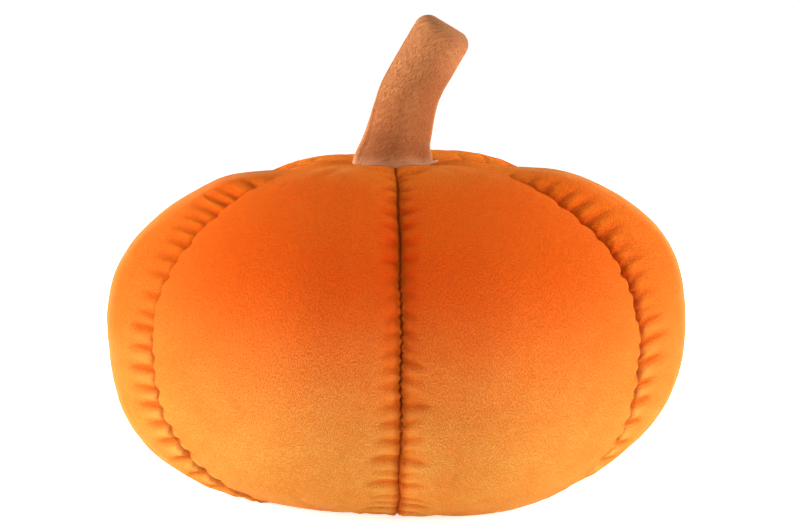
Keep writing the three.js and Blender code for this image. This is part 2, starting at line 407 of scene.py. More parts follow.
# Colours of the thread, dark partly as its own colour and partly as painted shade of the seams'
# depth, and of the room
THREAD_DARK = (0.16, 0.018, 0.004, 1)
THREAD_PALE = (0.34, 0.045, 0.009, 1)
FLOOR_GREY = (0.86, 0.86, 0.86, 1)
FLOOR_PALE = (0.88, 0.88, 0.88, 1)
WHITE = (1, 1, 1, 1)

# The studio, in metres and watts
FLOOR_HALF = 20.0
FLOOR_STEPS = 8
FLOOR_GLOW = 0.7
ROOM_LIGHT = 0.43
LIGHT_AIM = (0, 0, 0.11)
Lamp = namedtuple("Lamp", "name x y z size power")
LAMPS = [
    Lamp("left lamp", -1.6, 0.0, 0.25, 1.0, 71),
    Lamp("right lamp", 1.6, 0.0, 0.25, 1.0, 69),
    Lamp("top lamp", 0.0, 1.0, 1.1, 1.3, 13),
    Lamp("front lamp", -0.4, -1.7, 1.0, 1.2, 5.3),
]

# The camera, in metres, radians and millimetres of lens
CAMERA_TARGET_HEIGHT = 0.1045
CAMERA_DISTANCE = 1.9
CAMERA_ELEVATION = 0.131
CAMERA_AZIMUTH = -0.023
CAMERA_LENS = 138.25
CAMERA_AIM_RIGHT = 0.0035
CAMERA_AIM_UP = 0.0348


def crest_line(angle):
    """Radius and height of the middle of a panel, at an angle from the top centre."""
    s, c = np.sin(angle), np.cos(angle)
    upper = c > 0
    roundness = np.where(upper, UPPER_ROUNDNESS, LOWER_ROUNDNESS)
    reach = (np.abs(s) ** roundness + np.abs(c) ** roundness) ** (-1 / roundness)
    radius = BODY_WIDTH / 2 * s * reach
    hollow = np.exp(-(radius / HOLLOW_RADIUS) ** 2)
    top = CREST_RISE * c * reach - TOP_HOLLOW * hollow
    bottom = CREST_DROP * c * reach + UNDERSIDE_HOLLOW * hollow
    return radius, np.where(upper, top, bottom)


def crest_normal(angle):
    """The direction out of the body there, as radius and height."""
    step = 0.001
    radius_after, height_after = crest_line(angle + step)
    radius_before, height_before = crest_line(angle - step)
    along_radius = radius_after - radius_before
    along_height = height_after - height_before
    length = np.hypot(along_radius, along_height)
    return -along_height / length, along_radius / length


def swell(across):
    """How full a panel is across its width: 1 at its middle, 0 at its seams."""
    return (1 - np.abs(across) ** LOBE_ROUNDNESS).clip(0) ** (1 / LOBE_ROUNDNESS)


def filling(panel, angle, radius):
    """How far the filling moves a panel's middle outwards and upwards."""
    waist = np.sin(angle) ** 2
    shoulders = np.sin(2 * angle)
    beside_stem = np.where(angle < np.pi / 2, np.exp(-((radius - DIP_RADIUS) / DIP_SPREAD) ** 2), 0)
    rise = shoulders.clip(0) * panel.upper + shoulders.clip(None, 0) * panel.lower
    return panel.bulge * waist, panel.lift * waist + rise - panel.dip * beside_stem


def panel_surface(number, angle, across):
    """Points of a panel in millimetres, before its gathers."""
    radius, height = crest_line(angle)
    out_radius, out_height = crest_normal(angle)
    full = swell(across)
    fade = np.where(height > 0, UPPER_SEAM_FADE, LOWER_SEAM_FADE)
    inset = SEAM_DEPTH * (radius / (BODY_WIDTH / 2)).clip(0) ** fade * (1 - full)
    fill_out, fill_up = filling(PANELS[number], angle, radius)
    reach = radius - out_radius * inset + fill_out * full
    level = EQUATOR_HEIGHT + height - out_height * inset + fill_up * full
    azimuth = (number + 0.5 + across / 2) * 2 * np.pi / len(PANELS)
    return np.stack([reach * np.sin(azimuth), -reach * np.cos(azimuth), level], axis=-1)


def run_along(points, axis):
    """Length along a line of points, from its start to each of them."""
    steps = np.linalg.norm(np.diff(points, axis=axis), axis=-1)
    total = np.cumsum(steps, axis=axis)
    start = np.zeros_like(np.take(total, [0], axis=axis))
    return np.concatenate([start, total], axis=axis)


def ring_angles():
    """Angles of the rings: wide apart at the two poles, and even along the seams between them."""
    pole = np.radians(POLE_ANGLE)
    dense = np.linspace(pole, np.pi - pole, MEASURING_STEPS + 1)
    crest = run_along(panel_surface(0, dense, np.zeros_like(dense)), 0)
    seam = run_along(panel_surface(0, dense, -np.ones_like(dense)), 0)
    run = crest + seam
    between = RINGS - 2 * POLE_RINGS
    middle = np.interp(np.linspace(0, run[-1], between + 1), run, dense)
    cap = np.linspace(0, pole, POLE_RINGS + 1)[:-1]
    return np.concatenate([cap, middle, np.pi - cap[::-1]])


def half_columns():
    """Places from a seam, at 1, to a panel's middle, at 0: close together beside the seam."""
    dense = np.linspace(1, 0, 2 * MEASURING_STEPS + 1)
    level = np.full_like(dense, np.pi / 2)
    run = run_along(panel_surface(0, level, dense), 0)
    part = np.linspace(0, 1, COLUMNS_PER_HALF + 1)
    spacing = EVEN_COLUMNS * part + (1 - EVEN_COLUMNS) * part ** 2
    return np.interp(run[-1] * spacing, run, dense)


def other_folds(seed):
    """Gathers of a seam side that has none listed."""
    pick = np.random.default_rng(seed)
    folds = []
    place = OTHER_FOLD_FIRST + pick.uniform(0, OTHER_FOLD_SPACING[0])
    while place < OTHER_FOLD_LAST:
        full = min(1, place / OTHER_FOLD_FULL_DEPTH)
        shallow = OTHER_FOLD_TOP_SHARE + (1 - OTHER_FOLD_TOP_SHARE) * full
        folds.append(Fold(
            place,
            pick.uniform(*OTHER_FOLD_DEPTH) * shallow,
            pick.uniform(*OTHER_FOLD_REACH),
            pick.uniform(*OTHER_FOLD_WIDTH),
            pick.uniform(*OTHER_FOLD_SLANT),
        ))
        place += pick.uniform(*OTHER_FOLD_SPACING)
    return folds


def gathered_height(seam_run, angle, depth, beside, folds):
    """How far the gathers stand out or lie in, in millimetres, on one side of a seam."""
    height = ROLL_HEIGHT * np.exp(-beside / ROLL_REACH) * np.sin(angle)
    for fold in folds:
        place = np.interp(np.radians(fold.place), angle[:, 0], seam_run[:, 0])
        away = seam_run - place - fold.slant * beside
        width = fold.width * (1 + FOLD_WIDENING * beside / fold.reach)
        crease = np.exp(-(away / width) ** 2)
        hollow = np.exp(-(away / (HOLLOW_WIDTH * width)) ** 2)
        valley = CREASE_SHARE * crease + (1 - CREASE_SHARE) * hollow
        fade = np.exp(-(beside / fold.reach) ** FOLD_FADE_POWER)
        height = height - FOLD_GAIN * fold.depth * valley * fade
    return height * (1 - np.exp(-depth / FOLD_START))


def lumps(number, angle, across):
    """Slow unevenness of the filling under a panel."""
    pick = np.random.default_rng(LUMP_SEED + number)
    height = 0
    for _ in range(LUMPS_PER_PANEL):
        along = pick.uniform(*LUMPS_ALONG)
        aside = pick.uniform(*LUMPS_ACROSS)
        height = height + np.sin(along * angle + aside * across + pick.uniform(0, 2 * np.pi))
    return LUMP_HEIGHT * height / math.sqrt(LUMPS_PER_PANEL) * swell(across) * np.sin(angle)


def body_grid():
    """The gathered body as a grid of rings and columns, with what its material needs."""
    angles = ring_angles()
    half = half_columns()
    across = np.concatenate([-half, half[-2:0:-1]])
    per_panel = len(across)
    angle_grid, across_grid = np.meshgrid(angles, across, indexing="ij")
    parts = []
    for number, panel in enumerate(PANELS):
        points = panel_surface(number, angle_grid, across_grid)
        end = panel_surface(number, angles[:, None], np.ones((len(angles), 1)))
        run = run_along(np.concatenate([points, end], axis=1), 1)
        middle = run[:, COLUMNS_PER_HALF:COLUMNS_PER_HALF + 1]
        from_first = run[:, :-1]
        from_last = run[:, -1:] - from_first
        down = run_along(points, 0)[:, COLUMNS_PER_HALF:COLUMNS_PER_HALF + 1]
        first_seam = run_along(points[:, :1], 0)
        last_seam = run_along(end, 0)
        height = np.zeros_like(across_grid)
        half_width = crest_line(angle_grid)[0] * np.pi / len(PANELS)
        sides = (
            (-1, first_seam, from_first, (1 + across_grid) * half_width),
            (1, last_seam, from_last, (1 - across_grid) * half_width),
        )
        for side, seam_run, depth, beside in sides:
            folds = PLACED_FOLDS.get((panel.name, side))
            if folds is None:
                folds = other_folds(10 * number + side)
            height += gathered_height(seam_run, angle_grid, depth, beside, folds)
        azimuth = (number + 0.5 + across_grid / 2) * 2 * np.pi / len(PANELS)
        out_radius, out_height = crest_normal(angle_grid)
        outward = (out_radius * np.sin(azimuth), -out_radius * np.cos(azimuth), out_height)
        parts.append({
            "points": points,
            "folds": height,
            "lumps": lumps(number, angle_grid, across_grid),
            "from_seam": np.minimum(from_first, from_last),
            "beside": (1 - np.abs(across_grid)) * half_width,
            "outward": np.stack(outward, axis=-1),
            "nap": np.stack([
                from_first - middle,
                np.broadcast_to(down, from_first.shape),
                np.full_like(from_first, PANEL_NAP * (number + 1)),
            ], axis=-1),
        })
    grid = {key: np.concatenate([part[key] for part in parts], axis=1) for key in parts[0]}
    grid["angle"] = np.repeat(angles[:, None], per_panel * len(PANELS), axis=1)
    grid["per_panel"] = per_panel
    return grid


def grid_normals(points):
    """Directions out of a closed grid of rings and columns."""
    along = np.gradient(points, axis=0)
    around = np.roll(points, -1, axis=1) - np.roll(points, 1, axis=1)
    normal = np.cross(around, along)
    outward = np.sign((normal * points).sum(axis=-1).mean())
    length = np.linalg.norm(normal, axis=-1, keepdims=True)
    return outward * normal / np.maximum(length, 1e-9)


def smoothed(height):
    """Mean height over a patch of rings and columns."""
    for axis, reach in ((0, RELIEF_RINGS), (1, RELIEF_COLUMNS)):
        height = sum(np.roll(height, step, axis=axis) for step in range(-reach, reach + 1))
        height = height / (2 * reach + 1)
    return height


def seam_wander(grid):
    """Sideways pull on the cloth beside each seam."""
    per_panel = grid["per_panel"]
    shift = np.zeros_like(grid["folds"])
    for seam in range(len(PANELS)):
        pick = np.random.default_rng(SEAM_WANDER_SEED + seam)
        run = run_along(grid["points"][:, seam * per_panel], 0)
        drift = PITCH_DRIFT * np.sin(run / PITCH_DRIFT_LENGTH + pick.uniform(0, LAST_PHASE))
        fast = np.sin(2 * np.pi * run / SEAM_WANDER_PITCH + drift)
        slow = np.sin(2 * np.pi * run / SLOW_WANDER_PITCH + pick.uniform(0, LAST_PHASE))
        pull = SEAM_WANDER * (fast + SLOW_WANDER_SHARE * slow) * np.sin(grid["angle"][:, 0])
        first = seam * per_panel - per_panel // 2
        for column in range(first, first + per_panel):
            near = np.exp(-(grid["beside"][:, column] / SEAM_WANDER_REACH) ** 2)
            shift[:, column] += pull * near
    return shift


def in_scene(name, data):
    """An object with this data, put into the scene."""
    piece = bpy.data.objects.new(name, data)
    bpy.context.scene.collection.objects.link(piece)
    return piece


def smooth_piece(name, points, faces):
    """A smooth mesh object, its points in millimetres."""
    mesh = bpy.data.meshes.new(name)
    mesh.from_pydata((points * MM).tolist(), [], faces)
    mesh.validate()
    mesh.shade_smooth()
    return in_scene(name, mesh)


def closed_mesh(name, first, rings, last):
    """A mesh through rings of points, with one point at each end."""
    count = rings.shape[1]
    points = np.concatenate([[first], rings.reshape(-1, 3), [last]])
    steps = np.arange(count)
    after = (steps + 1) % count
    faces = np.stack([1 + steps, 1 + after, np.zeros(count, int)], axis=1).tolist()
    for ring in range(len(rings) - 1):
        here = 1 + ring * count
        below = here + count
        quads = [below + steps, below + after, here + after, here + steps]
        faces += np.stack(quads, axis=1).tolist()
    end = 1 + (len(rings) - 1) * count
    faces += np.stack([np.full(count, len(points) - 1), end + after, end + steps], axis=1).tolist()
    return smooth_piece(name, points, faces)


def store_value(piece, name, values):
    """Keeps one number for each point of a mesh, for its material."""
    attribute = piece.data.attributes.new(name, "FLOAT", "POINT")
    attribute.data.foreach_set("value", np.asarray(values, dtype=np.float32).ravel())


def store_vector(piece, name, values):
    """Keeps one vector for each point of a mesh, for its material."""
    attribute = piece.data.attributes.new(name, "FLOAT_VECTOR", "POINT")
    attribute.data.foreach_set("vector", np.asarray(values, dtype=np.float32).ravel())


def with_ends(values):
    """Values of the rings between the two poles, with one value at each pole."""
    inner = values[1:-1]
    shape = (-1,) + values.shape[2:]
    return np.concatenate([values[0, :1], inner.reshape(shape), values[-1, :1]])


def gathered_amount(grid):
    """Share of the extra cloth at each point: most beside the seams, none in a panel's middle."""
    per_panel = grid["per_panel"]
    half = per_panel // 2
    angle = grid["angle"]
    share = np.zeros_like(angle)
    for number, panel in enumerate(PANELS):
        for side in (-1, 1):
            given = GATHERING.get((panel.name, side), OTHER_GATHERING)
            first = number * per_panel + (0 if side < 0 else half)
            columns = slice(first, first + half)
            low = 0.5 - 0.5 * np.cos(angle[:, columns])
            reach = given.upper_reach + (given.lower_reach - given.upper_reach) * low
            near = np.exp(-(grid["beside"][:, columns] / reach) ** GATHERING_FADE_POWER)
            share[:, columns] = (given.upper + (given.lower - given.upper) * low) * near
    degrees = np.degrees(angle)
    start = ((degrees - GATHERING_FIRST_ANGLE) / GATHERING_FADE_ANGLE).clip(0, 1)
    end = ((GATHERING_LAST_ANGLE - degrees) / GATHERING_FADE_ANGLE).clip(0, 1)
    return share * start * end


def without_swelling(move, columns):
    """The settled moves with most of their slow part taken out: the panels keep their form."""
    rings = move[1:-1].reshape(-1, columns, 3)
    slow = rings
    for axis, reach in ((0, SWELLING_RINGS), (1, SWELLING_COLUMNS)):
        padded = np.concatenate([slow[:reach] * 0, slow, slow[-reach:] * 0]) if axis == 0 else slow
        total = sum(np.roll(padded, step, axis=axis) for step in range(-reach, reach + 1))
        slow = (total[reach:-reach] if axis == 0 else total) / (2 * reach + 1)
    kept = rings - SWELLING_TAKEN_OUT * slow
    return np.concatenate([move[:1], kept.reshape(-1, 3), move[-1:]])


def settle_cloth(body, grid):
    """Lets the filled cloth settle between its seams, and keeps the result in the mesh."""
    mesh = body.data
    count = len(mesh.vertices)
    before = np.empty(count * 3)
    mesh.vertices.foreach_get("co", before)
    before = before.reshape(-1, 3)
    angle = np.degrees(with_ends(grid["angle"]))
    held = (with_ends(grid["from_seam"]) < SEAM_PIN_REACH) | (before[:, 2] < PIN_HEIGHT * MM)
    held |= (angle < PIN_POLE_ANGLE) | (angle > 180 - PIN_POLE_ANGLE)
    pins = body.vertex_groups.new(name="held")
    pins.add(np.flatnonzero(held).tolist(), 1.0, "REPLACE")
    tight = body.vertex_groups.new(name="tight")
    for index, share in enumerate(with_ends(gathered_amount(grid)).tolist()):
        tight.add([index], 1.0 - share, "REPLACE")
    modifier = body.modifiers.new("Cloth", "CLOTH")
    cloth = modifier.settings
    cloth.mass = CLOTH_MASS
    cloth.tension_stiffness = CLOTH_STIFFNESS
    cloth.compression_stiffness = CLOTH_STIFFNESS
    cloth.shear_stiffness = CLOTH_SHEAR
    cloth.bending_stiffness = CLOTH_BENDING
    cloth.vertex_group_mass = "held"
    cloth.vertex_group_shrink = "tight"
    cloth.shrink_min = -EXTRA_CLOTH
    cloth.shrink_max = 0.0
    cloth.use_pressure = True
    cloth.uniform_pressure_force = FILLING_PRESSURE
    cloth.effector_weights.gravity = 0
    modifier.collision_settings.use_collision = False
    for number in range(1, CLOTH_FRAMES + 1):
        bpy.context.scene.frame_set(number)
    settled = body.evaluated_get(bpy.context.evaluated_depsgraph_get()).to_mesh()
    after = np.empty(count * 3)
    settled.vertices.foreach_get("co", after)
    move = after.reshape(-1, 3) - before
    move = without_swelling(move, grid["angle"].shape[1])
    length = np.linalg.norm(move, axis=1, keepdims=True)
    move *= np.minimum(1, CLOTH_MOVE_CAP * MM / np.maximum(length, 1e-9))
    body.modifiers.remove(modifier)
    body.vertex_groups.clear()
    bpy.context.scene.frame_set(1)
    after = before + move
    after[:, 2] = after[:, 2].clip(0)
    mesh.vertices.foreach_set("co", after.ravel())
    mesh.update()
    rings = after[1:-1].reshape(-1, grid["angle"].shape[1], 3)
    first = np.broadcast_to(after[0], (1,) + rings.shape[1:])
    last = np.broadcast_to(after[-1], (1,) + rings.shape[1:])
    return np.concatenate([first, rings, last]) / MM


def sewn_body():
    """The filled body with its gathered seams."""
    grid = body_grid()
    points = grid["points"]
    normals = grid_normals(points)
    outward = grid["outward"]
    azimuth = np.arctan2(points[..., 0], -points[..., 1])
    aside = np.stack([np.cos(azimuth), np.sin(azimuth), np.zeros_like(azimuth)], axis=-1)
    height = grid["folds"] + grid["lumps"]
    points = points + outward * height[..., None] + aside * seam_wander(grid)[..., None]
    points[..., 2] = points[..., 2].clip(0)
    body = closed_mesh("plush_body", points[0, 0], points[1:-1], points[-1, 0])
    flat = points
    points = settle_cloth(body, grid)
    store_vector(body, "nap", with_ends(grid["nap"]))
    store_value(body, "from_seam", with_ends(grid["beside"]))
    store_value(body, "from_stem", with_ends(np.hypot(flat[..., 0], flat[..., 1])))
    relief = grid["folds"] + ((points - flat) * normals).sum(axis=-1)
    store_value(body, "fold", with_ends(relief - smoothed(relief)))
    return body, points, grid


def sewing_thread(points, grid):
    """The thread that shows as a dark line at the bottom of each seam."""
    angle = np.degrees(grid["angle"][:, 0])
    rows = np.where((angle > THREAD_FIRST_ANGLE) & (angle < THREAD_LAST_ANGLE))[0]
    around = 2 * np.pi * np.arange(THREAD_SIDES) / THREAD_SIDES
    vertices, faces = [], []
    for seam in range(len(PANELS)):
        line = points[rows, seam * grid["per_panel"]]
        turn = 2 * np.pi * seam / len(PANELS)
        aside = np.array([math.cos(turn), math.sin(turn), 0])
        along = np.gradient(line, axis=0)
        along /= np.linalg.norm(along, axis=1, keepdims=True)
        out = np.cross(aside, along)
        out *= np.sign((out * (line - [0, 0, EQUATOR_HEIGHT])).sum(axis=1, keepdims=True))
        base = len(vertices)
        centre = line + out * THREAD_LIFT
        for turned in around:
            ring = centre + THREAD_RADIUS * (math.cos(turned) * aside + math.sin(turned) * out)
            ring[:, 2] = ring[:, 2].clip(0)
            vertices += ring.tolist()
        count = len(rows)
        for side in range(THREAD_SIDES):
            here = base + side * count
            there = base + (side + 1) % THREAD_SIDES * count
            faces += [(here + i, here + i + 1, there + i + 1, there + i) for i in range(count - 1)]
        faces.append([base + side * count for side in range(THREAD_SIDES)])
        faces.append([base + side * count + count - 1 for side in reversed(range(THREAD_SIDES))])
    return smooth_piece("seam_thread", np.array(vertices), faces)


def smooth_column(name, along):
    """Smooth value of a stem section's column, at places from 0 at the base to 1 at the end."""
    values = np.array([getattr(section, name) for section in STEM_SECTIONS], float)
    values = np.concatenate([[2 * values[0] - values[1]], values, [2 * values[-1] - values[-2]]])
    place = np.clip(along, 0, 1) * (len(STEM_SECTIONS) - 1)
    cell = np.minimum(place.astype(int), len(STEM_SECTIONS) - 2)
    t = place - cell
    a, b, c, d = (values[cell + i] for i in range(4))
    return b + 0.5 * t * (c - a + t * (2 * a - 5 * b + 4 * c - d + t * (3 * (b - c) + d - a)))


def stem_rings():
    """Rings of the stem from its base to its end, how far each point is from its seam, and more."""
    top = EQUATOR_HEIGHT + float(crest_line(np.array([0.0]))[1][0])
    along = np.linspace(0, 1, STEM_STEPS_ALONG + 1)
    end = np.sin(np.linspace(0, np.pi / 2, STEM_END_STEPS + 1)[1:])
    before = np.clip(along - STEM_LEAN_STEP, 0, 1)
    after = np.clip(along + STEM_LEAN_STEP, 0, 1)
    lean = np.arctan2(
        smooth_column("shift", after) - smooth_column("shift", before),
        smooth_column("rise", after) - smooth_column("rise", before),
    )
    columns = {name: smooth_column(name, along) for name in StemSection._fields}
    centre = np.stack([columns["shift"], 0 * along, top + columns["rise"]], axis=1)
    turned = np.arcsin(end)
    trim = 2 * STEM_END_ROUNDING * (1 - np.cos(turned))
    onward = np.array([math.sin(lean[-1]), 0, math.cos(lean[-1])])
    centre = np.concatenate([centre, centre[-1] + STEM_END_ROUNDING * end[:, None] * onward])
    lean = np.concatenate([lean, np.full(len(end), lean[-1])])
    width = np.concatenate([columns["width"], columns["width"][-1] - trim])
    depth = np.concatenate([columns["depth"], columns["depth"][-1] - trim])
    turn = np.radians(np.concatenate([columns["turn"], np.full(len(end), columns["turn"][-1])]))
    around = 2 * np.pi * np.arange(STEM_STEPS_AROUND) / STEM_STEPS_AROUND
    upwards = np.linspace(0, 1, len(width))
    seam_turn = STEM_SEAM_TURN * (1 - upwards) ** STEM_SEAM_TURN_POWER
    from_seam = around[None, :] - seam_turn[:, None]
    ridge = STEM_SEAM_RIDGE * np.abs(np.cos(from_seam)) ** STEM_SEAM_SHARPNESS
    groove = STEM_GROOVE_DEPTH * np.exp(-(np.sin(from_seam) / STEM_GROOVE_WIDTH) ** 2)
    across = (width[:, None] / 2 + ridge - groove) * np.cos(around)[None, :]
    forward = (depth[:, None] / 2 + ridge - groove) * np.sin(around)[None, :]
    side = across * np.cos(turn)[:, None] - forward * np.sin(turn)[:, None]
    back = across * np.sin(turn)[:, None] + forward * np.cos(turn)[:, None]
    x = centre[:, None, 0] + side * np.cos(lean)[:, None]
    y = centre[:, None, 1] + back
    z = centre[:, None, 2] - side * np.sin(lean)[:, None]
    rings = np.stack([x, y, z], axis=-1)
    return rings, np.abs(np.sin(from_seam)) * STEM_SEAM_SPAN, centre[-1], around


def from_end(values):
    """Values of the stem's rings from its end to its foot, with one value more at both."""
    rings = values[::-1].reshape((-1,) + values.shape[2:])
    return np.concatenate([values[-1:, 0], rings, values[:1, 0]])


def surface_below(tree, x, y):
    """Height of the body's top under a place, in millimetres."""
    hit, _, _, _ = tree.ray_cast(Vector((x * MM, y * MM, 1)), Vector((0, 0, -1)))
    return hit.z / MM


def sewn_stem(body):
    """The filled stem, its foot fitted to the body's top."""
    rings, from_seam, tip, around = stem_rings()
    graph = bpy.context.evaluated_depsgraph_get()
    tree = BVHTree.FromObject(body, graph)
    for column in range(rings.shape[1]):
        line = rings[:, column]
        floor = np.array([surface_below(tree, x, y) + SEWN_GAP for x, y, _ in line])
        above = line[:, 2] - floor
        first = int(np.argmax(above > 0))
        part = above[first - 1] / (above[first - 1] - above[first])
        start = first - 1 + part
        places = start + (len(line) - 1 - start) * np.arange(len(line)) / (len(line) - 1)
        rings[:, column] = np.stack([
            np.interp(places, np.arange(len(line)), line[:, axis]) for axis in range(3)
        ], axis=1)
    foot = rings[0]
    middle = foot.mean(axis=0)
    inner = []
    for part in np.arange(1, STEM_FOOT_RINGS + 1) / (STEM_FOOT_RINGS + 1):
        ring = foot + (middle - foot) * part
        ring[:, 2] = [surface_below(tree, x, y) + SEWN_GAP for x, y, _ in ring]
        inner.append(ring)
    middle[2] = surface_below(tree, middle[0], middle[1]) + SEWN_GAP
    body_rings = np.concatenate([np.array(inner[::-1]), rings[:-1]])
    stem = closed_mesh("plush_stem", tip, body_rings[::-1], middle)
    run = run_along(body_rings, 0)
    around_run = run_along(np.concatenate([body_rings, body_rings[:, :1]], axis=1), 1)[:, :-1]
    up = run - run[len(inner):len(inner) + 1]
    nap = np.stack([around_run, run, np.full_like(run, STEM_NAP)], axis=-1)
    below = np.repeat(from_seam[:1], len(inner), axis=0)
    from_seam = np.concatenate([below, from_seam[:-1]])
    # Where the painted shade of the stem's right side falls
    right_side = np.cos(around - STEM_SHADED_TURN)[None, :] * np.ones_like(up)
    store_vector(stem, "nap", from_end(nap))
    store_value(stem, "from_seam", from_end(from_seam))
    store_value(stem, "above_foot", from_end(up))
    store_value(stem, "right_side", from_end(right_side))
    return stem


def new_group(name, inputs, outputs):
    """An empty shader node group with named sockets."""
    group = bpy.data.node_groups.new(name, "ShaderNodeTree")
    for label, kind, value in inputs:
        socket = group.interface.new_socket(label, in_out="INPUT", socket_type=kind)
        if value is not None:
            socket.default_value = value
    for label, kind in outputs:
        group.interface.new_socket(label, in_out="OUTPUT", socket_type=kind)
    return group, group.nodes.new("NodeGroupInput"), group.nodes.new("NodeGroupOutput")


class Bench:
    """Puts nodes into one tree and links them."""

    def __init__(self, tree):
        self.tree = tree

    def put(self, kind, inputs=(), **settings):
        node = self.tree.nodes.new(kind)
        for key, value in settings.items():
            setattr(node, key, value)
        for key, value in dict(inputs).items():
            self.feed(node.inputs[key], value)
        return node

    def feed(self, socket, value):
        if isinstance(value, bpy.types.NodeSocket):
            self.tree.links.new(value, socket)
        else:
            socket.default_value = value

    def math(self, operation, *values):
        node = self.tree.nodes.new("ShaderNodeMath")
        node.operation = operation
        for socket, value in zip(node.inputs, values):
            self.feed(socket, value)
        return node.outputs[0]

    def spread(self, value, low, high, to_low=0.0, to_high=1.0):
        node = self.put("ShaderNodeMapRange", interpolation_type="SMOOTHSTEP")
        for key, part in (("Value", value), ("From Min", low), ("From Max", high),
                          ("To Min", to_low), ("To Max", to_high)):
            self.feed(node.inputs[key], part)
        return node.outputs["Result"]

    def times(self, first, *others):
        for other in others:
            first = self.math("MULTIPLY", first, other)
        return first

    def stored(self, name, kind="Fac"):
        return self.put("ShaderNodeAttribute", attribute_name=name).outputs[kind]

    def blend(self, amount, first, second, way="MIX"):
        node = self.put("ShaderNodeMix", data_type="RGBA", blend_type=way)
        self.feed(node.inputs[0], amount)
        self.feed(node.inputs[6], first)
        self.feed(node.inputs[7], second)
        return node.outputs[2]


def plush_pile_group():
    """Short pile: tufts that lie along the nap, fine flecks and softly brushed patches."""
    group, given, made = new_group(
        "plush pile",
        [("Nap place", "NodeSocketVector", None), ("Tuft size", "NodeSocketFloat", 1.5),
         ("Lay", "NodeSocketFloat", 0.5), ("Patch size", "NodeSocketFloat", 18.0)],
        [("Tufts", "NodeSocketFloat"), ("Flecks", "NodeSocketFloat"),
         ("Patches", "NodeSocketFloat")],
    )
    bench = Bench(group)

    def moved(operation, vector, other):
        inputs = {0: vector, ("Scale" if operation == "SCALE" else 1): other}
        return bench.put("ShaderNodeVectorMath", inputs, operation=operation).outputs[0]

    place = given.outputs["Nap place"]
    swirl = bench.put("ShaderNodeTexNoise",
                      {"Vector": place, "Scale": NAP_SWIRL_SCALE, "Detail": 1.0})
    bend = moved("SCALE", moved("SUBTRACT", swirl.outputs["Color"], (0.5, 0.5, 0.5)), NAP_SWIRL)
    inverse = bench.math("DIVIDE", 1.0, given.outputs["Tuft size"])
    lengthwise = bench.times(inverse, given.outputs["Lay"])
    scale = bench.put("ShaderNodeCombineXYZ", {"X": inverse, "Y": lengthwise, "Z": 0.02})
    scaled = moved("MULTIPLY", moved("ADD", place, bend), scale.outputs[0])
    soft = bench.put("ShaderNodeTexNoise",
                     {"Vector": scaled, "Scale": 0.8, "Detail": 2.0, "Roughness": 0.6})
    clumps = bench.put("ShaderNodeTexVoronoi",
                       {"Vector": scaled, "Scale": 0.62, "Smoothness": 0.6, "Randomness": 1.0},
                       feature="SMOOTH_F1")
    rounded = bench.spread(clumps.outputs["Distance"], *CLUMP_ROUNDING)
    noise = bench.spread(soft.outputs["Fac"], *TUFT_NOISE)
    tufts = bench.math("ADD", bench.times(rounded, CLUMP_SHARE),
                       bench.times(noise, 1 - CLUMP_SHARE))
    fine = bench.put("ShaderNodeTexNoise", {"Vector": scaled, "Scale": 2.1, "Detail": 1.0})
    patch_inverse = bench.math("DIVIDE", 1.0, given.outputs["Patch size"])
    patches = bench.put("ShaderNodeTexNoise",
                        {"Vector": moved("SCALE", place, patch_inverse), "Scale": 1.0,
                         "Detail": 4.0, "Roughness": 0.62, "Distortion": 0.5})
    bench.feed(made.inputs["Tufts"], tufts)
    bench.feed(made.inputs["Flecks"], bench.spread(fine.outputs["Fac"], *FLECK_NOISE))
    bench.feed(made.inputs["Patches"], bench.spread(patches.outputs["Fac"], *PATCH_NOISE))
    return group


def new_material(name):
    """A material with its shader, and a bench for its nodes."""
    material = bpy.data.materials.new(name)
    material.use_nodes = True
    tree = material.node_tree
    return material, Bench(tree), tree.nodes["Principled BSDF"]


def pile_parts(bench, group, pile):
    """Tufts, flecks and patches of a plush."""
    plush = bench.put("ShaderNodeGroup", {
        "Nap place": bench.stored("nap", "Vector"),
        "Tuft size": pile.tuft_size,
        "Lay": pile.lay,
        "Patch size": pile.patch_size,
    }, node_tree=group)
    return [plush.outputs[name] for name in ("Tufts", "Flecks", "Patches")]


def sheen_edge(bench, turn):
    """How much pale sheen the pile shows where the surface turns away."""
    return bench.spread(bench.put("ShaderNodeLayerWeight", {"Blend": 0.5}).outputs["Facing"], *turn)


def finish_plush(bench, shader, colour_and_painted_light, tufts, flecks, finish):
    """Gives a plush its colour, its sheen and the relief of its pile."""
    bench.feed(shader.inputs["Base Color"], colour_and_painted_light)
    bench.feed(shader.inputs["Roughness"], bench.spread(tufts, *TUFT_ROUGHNESS))
    shader.inputs["Specular IOR Level"].default_value = finish.gloss
    shader.inputs["Sheen Weight"].default_value = finish.sheen
    shader.inputs["Sheen Roughness"].default_value = finish.sheen_roughness
    shader.inputs["Sheen Tint"].default_value = finish.sheen_tint
    relief = bench.math("ADD", tufts, bench.times(flecks, FLECK_HEIGHT))
    bump = bench.put("ShaderNodeBump", {"Height": relief, "Strength": finish.relief,
                                        "Distance": PILE_HEIGHT})
    bench.feed(shader.inputs["Normal"], bump.outputs[0])


